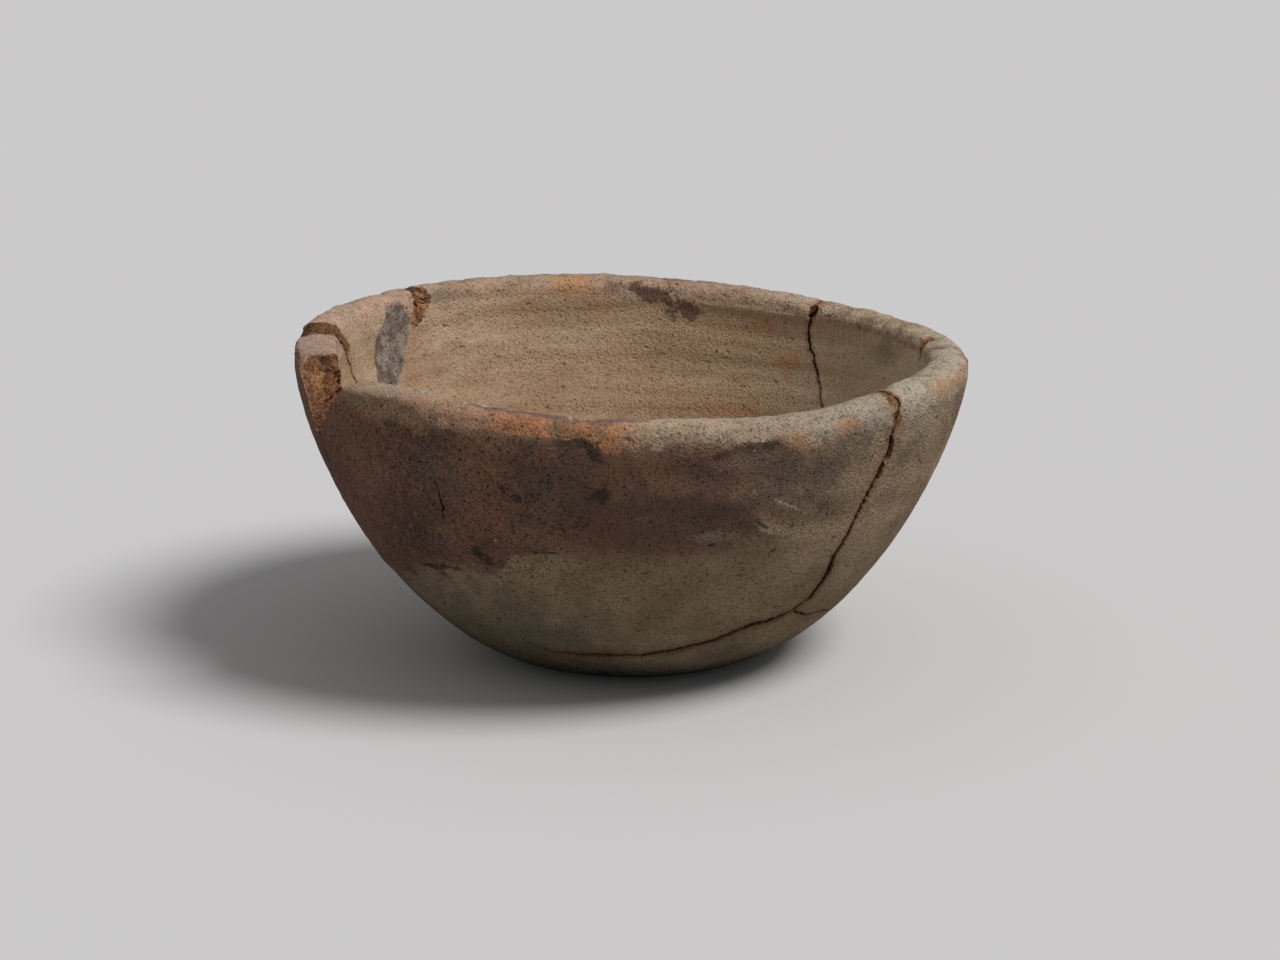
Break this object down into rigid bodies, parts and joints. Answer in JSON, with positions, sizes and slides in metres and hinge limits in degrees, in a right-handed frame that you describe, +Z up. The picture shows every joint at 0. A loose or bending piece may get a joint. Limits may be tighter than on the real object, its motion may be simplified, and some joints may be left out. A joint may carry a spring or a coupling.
{
  "type": "cracked clay bowl",
  "caption": "Small thick-walled clay bowl with a flat foot and uneven rounded lip, mended from sherds, with open cracks, chips and a piece of its rim lost.",
  "frame": {"origin": "middle of the flat resting foot", "axes": "+Z up out of the bowl's mouth, -Y towards the side that the picture shows, +X to the right of that view"},
  "size_m": [0.136, 0.136, 0.0664],
  "materials": {
    "clay": "coarse unglazed buff and pink-brown clay, matte, sandy, stained and abraded, orange-brown in the breaks"
  },
  "bodies": {
    "root": {"bowl": "clay"}
  },
  "joints": []
}
